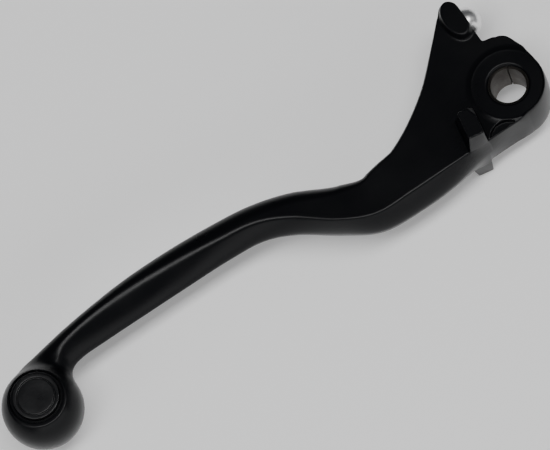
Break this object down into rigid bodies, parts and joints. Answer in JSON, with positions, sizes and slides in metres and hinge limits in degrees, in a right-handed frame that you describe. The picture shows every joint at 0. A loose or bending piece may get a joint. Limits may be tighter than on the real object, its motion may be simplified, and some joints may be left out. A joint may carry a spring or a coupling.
{
  "type": "motorcycle clutch lever",
  "caption": "Full-length black clutch lever for a hydraulic master cylinder, with ball end, stop lugs, pivot bush and steel push pin.",
  "frame": {"origin": "on the pivot axis, at the middle plane of the lever", "axes": "+Z along the pivot axis towards the face with the badge, +X from the ball end towards the pivot, +Y towards the handlebar grip and the push pin"},
  "size_m": [0.1772, 0.0446, 0.03],
  "materials": {
    "black_coating": "satin",
    "badge_black": "satin",
    "bush_metal": "dull",
    "pin_steel": "polished"
  },
  "bodies": {
    "pivot": {"pivot_bush": "bush_metal"},
    "lever": {"lever_forging": "black_coating", "push_pin": "pin_steel", "end_badge": "badge_black"}
  },
  "joints": [
    {"name": "lever_swing", "type": "hinge", "parent": "pivot", "child": "lever", "pos_m": [0, 0, 0], "axis": [0, 0, -1], "range_deg": [0, 24]}
  ]
}
